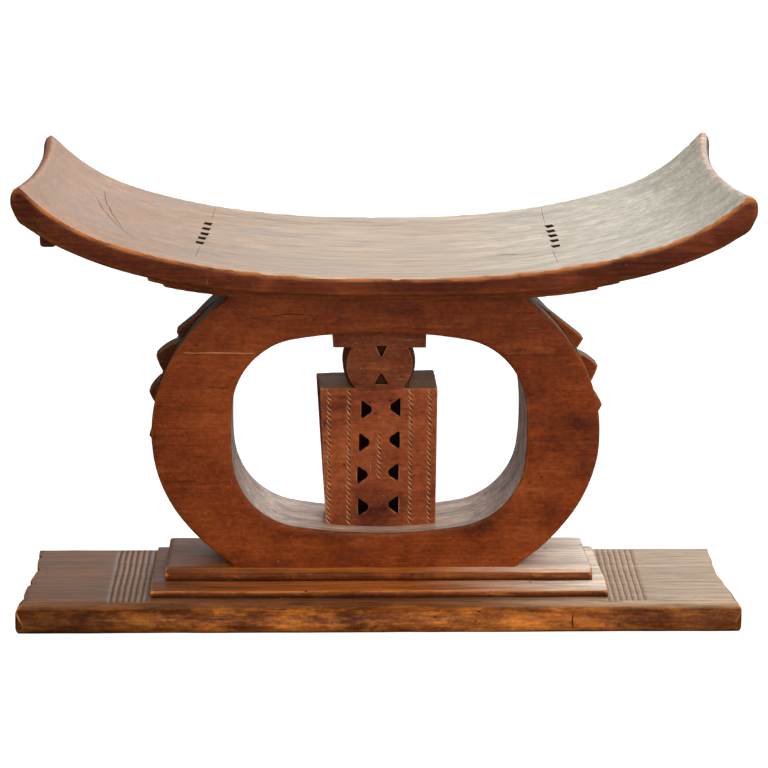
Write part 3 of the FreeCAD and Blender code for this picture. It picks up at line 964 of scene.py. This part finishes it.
# Fine groove that follows the surface from one point of a path to the next
def addScore(bm, surface, path, facing, radius, wobble=0.0, slot=1):
    s = cutterSettings
    facing = Vector(facing)
    points = []
    for start, end in zip(path, path[1:]):
        steps = max(2, int((end - start).length / s["scoreStep"]))
        points += [start.lerp(end, step / steps) for step in range(steps)]
    placed = []
    for point in points + [path[-1]]:
        sway = noise.noise_vector(point / s["swayLength"]) * wobble
        hit = foundOn(surface, point + sway, facing)
        if hit is not None:
            placed.append(hit)
    if len(placed) < 3:
        return
    frames = []
    last = len(placed) - 1
    for number, point in enumerate(placed):
        run = (placed[min(number + 1, last)] - placed[max(number - 1, 0)]).normalized()
        side = run.cross(facing).normalized()
        share = number / last
        fullness = math.sin(math.pi * share) ** 0.5
        swell = radius * (s["scoreEnd"] + (1 - s["scoreEnd"]) * fullness)
        turn = Matrix((side, facing, run)).transposed().to_4x4()
        size = Matrix.Diagonal((swell, swell, swell, 1))
        frames.append(Matrix.Translation(point) @ turn @ size)
    made = bmesh.ops.create_circle(bm, cap_ends=True, segments=4, radius=1.0)["verts"]
    bmesh.ops.transform(bm, verts=made, matrix=frames[0])
    face = made[0].link_faces[0]
    for before, after in zip(frames, frames[1:]):
        grown = bmesh.ops.extrude_face_region(bm, geom=[face])["geom"]
        moved = [item for item in grown if isinstance(item, bmesh.types.BMVert)]
        bmesh.ops.transform(bm, verts=moved, matrix=after @ before.inverted())
        if before is not frames[0]:
            bmesh.ops.delete(bm, geom=[face], context="FACES_ONLY")
        face = next(item for item in grown if isinstance(item, bmesh.types.BMFace))
    for face in bm.faces:
        face.material_index = face.material_index or slot


# Slot 0 is the polished outside, 1 dark cut wood and 2 light scratched wood; on the box's nicks
# 1 is also painted shade and 2 painted light
def cutAway(obj, bm):
    bmesh.ops.recalc_face_normals(bm, faces=bm.faces)
    for face in bm.faces:
        face.material_index = face.material_index or 1
    cutter = freshObject("cutter", bm)
    for item in (obj, cutter):
        for wood in ("polished", "cut", "scratch"):
            item.data.materials.append(woods[wood])
    cut = obj.modifiers.new("cut", "BOOLEAN")
    cut.operation = "DIFFERENCE"
    cut.solver = "MANIFOLD"
    cut.material_mode = "INDEX"
    cut.object = cutter
    count = len(obj.data.polygons)
    applyModifiers(obj)
    print(obj.name, "cut:", count, "faces before,", len(obj.data.polygons), "after")
    bpy.data.objects.remove(cutter)


# Seat details: five notches on each side, scribed lines, two long cracks and a split

seatDetails = {
    "above": 400,               # the height that the cuts are dropped from
    "leftNotches": (
        (-148.3, 62.5), (-148.8, 38.5), (-149.2, 14.5), (-150.5, -8.0), (-151.3, -32.0),
    ),
    "rightNotches": (
        (150.6, 58.5), (149.3, 36.0), (148.9, 14.5), (147.9, -8.6), (146.1, -34.5),
    ),
    "notch": (10.4, 9.4, 3.1),
    "notchLean": -0.3,
    "leftTurn": -1.67,          # their tips point outwards
    "rightTurn": 1.69,
    "scribes": (
        ((-150.4, -114), (-149.0, -48)),
        ((-145.0, 84), (-143.5, 140)),
        ((150.3, 140), (147.0, 74)),
        ((140.5, -52), (137.8, -122)),
    ),
    "scribeRadius": 0.2,
    "cracks": (
        ((-237.5, 75.7), (-232, 35), (-223, -8), (-212.2, -53.8)),
        ((-242.3, 42.4), (-232, 0), (-217, -48), (-198.3, -90.5)),
    ),
    "crackRadius": 0.42,
    "crackWobble": 0.8,
    "splits": (
        ((94, -44), (102, -46), (114, -52)),
    ),
    "splitRadius": 0.9,
}


def carveSeat(obj):
    s = seatDetails
    up = (0, 0, 1)
    surface = surfaceOf(obj)
    bm = bmesh.new()
    size = [value * mm for value in s["notch"]]
    for places, turn in ((s["leftNotches"], s["leftTurn"]), (s["rightNotches"], s["rightTurn"])):
        for x, y in places:
            place = Vector((x * mm, y * mm, s["above"] * mm))
            addChip(bm, surface, place, up, 3, size, turn, s["notchLean"])
    for paths, radius, wobble in (
        (s["scribes"], s["scribeRadius"], 0.0),
        (s["cracks"], s["crackRadius"], s["crackWobble"]),
        (s["splits"], s["splitRadius"], 0.0),
    ):
        for path in paths:
            path = [Vector((x * mm, y * mm, s["above"] * mm)) for x, y in path]
            addScore(bm, surface, path, up, radius * mm, wobble * mm)
    cutAway(obj, bm)


# Box details: rope bands of slanting nicks, front and back

boxDetails = {
    "bands": (-42.8, -25.8, 26.7, 42.8),
    "bandRange": (76, 197),
    "middleBand": 0.0,
    "middleRange": (117, 157),
    "pitch": 4.4,
    "nick": (3.7, 1.15, 1.4),
    "tilt": 0.86,
    "driftDepth": 9,            # keeps front and back from being uneven in the same way
    "driftSteps": 0.9,          # how fast the nicks' unevenness changes, and how large it is
    "placeDrift": 0.5,
    "sizeDrift": 0.25,
    "turnDrift": 0.25,
    "litWallFacing": -0.1,          # cutter walls that look down more than this are the lighter wood, painted light on the nick walls that look up; the rest is painted shade
}


def carveBox(obj):
    s = boxDetails
    surface = surfaceOf(obj)
    bm = bmesh.new()
    bands = [(x, s["bandRange"]) for x in s["bands"]] + [(s["middleBand"], s["middleRange"])]
    for facing in (-1, 1):
        for x, (low, high) in bands:
            for row in range(int((high - low) / s["pitch"])):
                z = low + (row + 0.5) * s["pitch"]
                spot = Vector((x, facing * s["driftDepth"], z)) * s["driftSteps"]
                drift = noise.noise_vector(spot)
                shift = drift * s["placeDrift"]
                place = Vector((x + shift.x, 0, z + shift.z)) * mm
                size = [value * mm * (1 + s["sizeDrift"] * drift.y) for value in s["nick"]]
                turn = drift.x * s["turnDrift"] - s["tilt"]
                # Painted light on the nick walls that look up, painted shade on the others
                for face in addChip(bm, surface, place, (0, facing, 0), 4, size, turn):
                    face.normal_update()
                    face.material_index = 2 if face.normal.z < s["litWallFacing"] else 1
    cutAway(obj, bm)


# Ring and foot details: cracks that show dark and a scratch that shows light

ringDetails = {
    "crack": ((-92, 0, 263), (-78, 0, 264.5), (-64, 0, 264)),
    "crackRadius": 0.35,
    "crackWobble": 0.6,
    "scratch": ((-164, 0, 231.6), (-132, 0, 231.4), (-101, 0, 231)),
    "scratchRadius": 0.35,
    "scratchWobble": 0.3,
}

footDetails = {
    "crack": ((161.5, 0, 16), (161, 0, 10), (162, 0, 4)),
    "crackRadius": 0.7,
    "crackWobble": 0.5,
}


def scoreFront(bm, surface, s, label, slot):
    path = [Vector(point) * mm for point in s[label]]
    radius, wobble = s[label + "Radius"] * mm, s[label + "Wobble"] * mm
    addScore(bm, surface, path, (0, -1, 0), radius, wobble, slot)


def carveRing(obj):
    surface = surfaceOf(obj)
    bm = bmesh.new()
    scoreFront(bm, surface, ringDetails, "crack", 1)
    scoreFront(bm, surface, ringDetails, "scratch", 2)
    cutAway(obj, bm)


def carveFoot(obj):
    bm = bmesh.new()
    scoreFront(bm, surfaceOf(obj), footDetails, "crack", 1)
    cutAway(obj, bm)


def finishPiece(obj, node, wood):
    obj.data.shade_smooth()
    obj.data.set_sharp_from_angle(angle=math.radians(carveSettings["sharpAngle"]))
    if not obj.data.materials:
        obj.data.materials.append(None)
    obj.data.materials[0] = woods[wood]
    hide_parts(node)
    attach(obj, "root")
    print(node, "carved with", len(obj.data.polygons), "faces")


# Lengths in mm. A piece with rims has its bends marked again after it is cut, so that wear and
# painted highlight reach the rims of its cuts
pieceSettings = {
    "foot": {
        "voxel": 1.15, "softness": 3, "thin": 0.42, "drift": 1.0, "wood": "foot",
        "carve": carveFoot, "rolled": ((1, 19, 7), (0, 9, 6)),
    },
    "lower_step": {
        "voxel": 1.4, "softness": 2, "wood": "step", "tuckDown": 3, "rolled": ((1, 6, 0),),
    },
    "upper_step": {
        "voxel": 1.4, "softness": 2, "wood": "step", "tuckDown": 3, "rolled": ((1, 6, 0),),
    },
    "ring": {
        "voxel": 1.9, "softness": 2, "wood": "ring", "tuckDown": 3, "tuckUp": 3,
        "tuckWithin": 28, "carve": carveRing,
    },
    "left_crest": {"voxel": 0.8, "softness": 2, "wood": "shaded"},
    "right_crest": {"voxel": 0.8, "softness": 2, "wood": "polished"},
    "column_box": {
        "voxel": 0.9, "softness": 1, "waves": 0.6, "wood": "box", "tuckDown": 3,
        "tuckWithin": 20, "carve": carveBox, "rims": 2,
    },
    "column_drum": {
        "voxel": 0.8, "softness": 1, "wood": "drum", "tuckDown": 3, "tuckUp": 3,
        "tuckWithin": 6,
    },
    "column_capital": {
        "voxel": 0.9, "softness": 1, "wood": "drum", "tuckUp": 3, "tuckWithin": 6,
    },
    "seat_lower_band": {"voxel": 1.5, "softness": 2, "wood": "polished", "tuckUp": 3},
    "seat_upper_band": {"voxel": 1.5, "softness": 2, "wood": "polished", "tuckUp": 3},
    "seat_lug": {"voxel": 0.8, "softness": 3, "wood": "shaded", "tuckUp": 2},
    "seat": {
        "voxel": 2.3, "softness": 7, "waves": 0.5, "spread": 3, "wood": "seat",
        "carve": carveSeat,
    },
}


def carvePiece(node, s):
    coarse = 1
    obj = mergedNode(node, s)
    evened(obj, s["voxel"] * coarse * mm, s["softness"])
    rolled(obj, node, s.get("rolled", ()))
    handWaved(obj, s.get("drift", 0) * mm, s.get("waves", 1))
    markBends(obj, s.get("spread", 2))
    if "thin" in s:
        thinned(obj, s["thin"])
    if "carve" in s:
        s["carve"](obj)
    if "rims" in s:
        markBends(obj, s["rims"])
    finishPiece(obj, node, s["wood"])


for nodeName, nodeSettings in pieceSettings.items():
    carvePiece(nodeName, nodeSettings)

# Floor and light

stageSettings = {
    "floorSize": 40.0,
    "floorTone": 0.42,
    "floorGlow": 0.90,
    "floorMirror": 0.05,        # how much of the floor shows in the polish
    "skyTone": 0.30,
    "mirrorRight": 1.6,         # how bright the surroundings show in the polish
    "mirrorLeft": 0.36,
    "mirrorFront": 0.02,
    "mirrorLow": 0.30,          # share of it near the skyline
    "leftToRight": (-0.2, 0.12),
    "frontToBack": (-0.15, 0.35),
    "lowToHigh": (0.04, 0.25),
}

lampSettings = [
    {
        "name": "frontLamp", "place": (0.45, -2.9, 1.2), "aim": (0, 0, 0.2),
        "size": 2.4, "power": 122, "mirrored": False,
    },
    {
        "name": "topLamp", "place": (0.9, 0.9, 2.3), "aim": (0, 0, 0.3),
        "size": 2.2, "power": 34, "mirrored": True,
    },
]


def addFloor():
    s = stageSettings
    bm = bmesh.new()
    bmesh.ops.create_grid(bm, x_segments=1, y_segments=1, size=s["floorSize"] / 2)
    floor = freshObject("floor", bm)
    material = bpy.data.materials.new("floorPaint")
    material.use_nodes = True
    tree = material.node_tree
    tree.nodes.clear()
    matt = addNode(tree, "ShaderNodeBsdfDiffuse")
    glow = addNode(tree, "ShaderNodeEmission")
    rays = addNode(tree, "ShaderNodeLightPath").outputs
    tones = (s["floorTone"], s["floorTone"] * s["floorMirror"])
    plain, faint = ((tone,) * 3 + (1,) for tone in tones)
    feed(tree, matt, Color=mixed(tree, rays["Is Glossy Ray"], plain, faint))
    feed(tree, glow, Strength=maths(tree, "MULTIPLY", rays["Is Camera Ray"], s["floorGlow"]))
    both = addNode(tree, "ShaderNodeAddShader")
    feed(tree, both, i0=matt.outputs[0], i1=glow.outputs[0])
    feed(tree, addNode(tree, "ShaderNodeOutputMaterial"), i0=both.outputs[0])
    floor.data.materials.append(material)


# White to the camera, plain to what it lights, and brighter on the right in the polish
def addSky():
    s = stageSettings
    world = bpy.data.worlds.new("studio")
    bpy.context.scene.world = world
    world.use_nodes = True
    world.cycles.sampling_method = "NONE"   # or the polish would show the plain tone too
    tree = world.node_tree
    tree.nodes.clear()
    sky = addNode(tree, "ShaderNodeBackground")
    rays = addNode(tree, "ShaderNodeLightPath").outputs
    way = parted(tree, addNode(tree, "ShaderNodeTexCoord").outputs["Generated"])
    side = ranged(tree, way["X"], *s["leftToRight"], s["mirrorLeft"], s["mirrorRight"])
    beyond = maths(tree, "SUBTRACT", side, s["mirrorFront"])
    back = ranged(tree, way["Y"], *s["frontToBack"])
    shown = maths(tree, "MULTIPLY_ADD", beyond, back, s["mirrorFront"])
    height = ranged(tree, way["Z"], *s["lowToHigh"], s["mirrorLow"], 1.0)
    shown = maths(tree, "MULTIPLY", shown, height)
    glossy, camera = rays["Is Glossy Ray"], rays["Is Camera Ray"]
    other = maths(tree, "SUBTRACT", 1.0, maths(tree, "ADD", glossy, camera))
    strength = maths(tree, "MULTIPLY_ADD", other, s["skyTone"], camera)
    strength = maths(tree, "MULTIPLY_ADD", glossy, shown, strength)
    feed(tree, sky, Color=(1, 1, 1, 1), Strength=strength)
    feed(tree, addNode(tree, "ShaderNodeOutputWorld"), i0=sky.outputs[0])


def addLamp(s):
    data = bpy.data.lights.new(s["name"], "AREA")
    data.shape = "SQUARE"
    data.size = s["size"]
    data.energy = s["power"]
    lamp = bpy.data.objects.new(s["name"], data)
    lamp.location = s["place"]
    aim = Vector(s["aim"]) - Vector(s["place"])
    lamp.rotation_euler = aim.to_track_quat("-Z", "Y").to_euler()
    lamp.visible_glossy = s["mirrored"]
    bpy.context.scene.collection.objects.link(lamp)


addFloor()
addSky()
for lampValues in lampSettings:
    addLamp(lampValues)
bpy.context.scene.view_settings.view_transform = "Standard"
print("floor and light set")
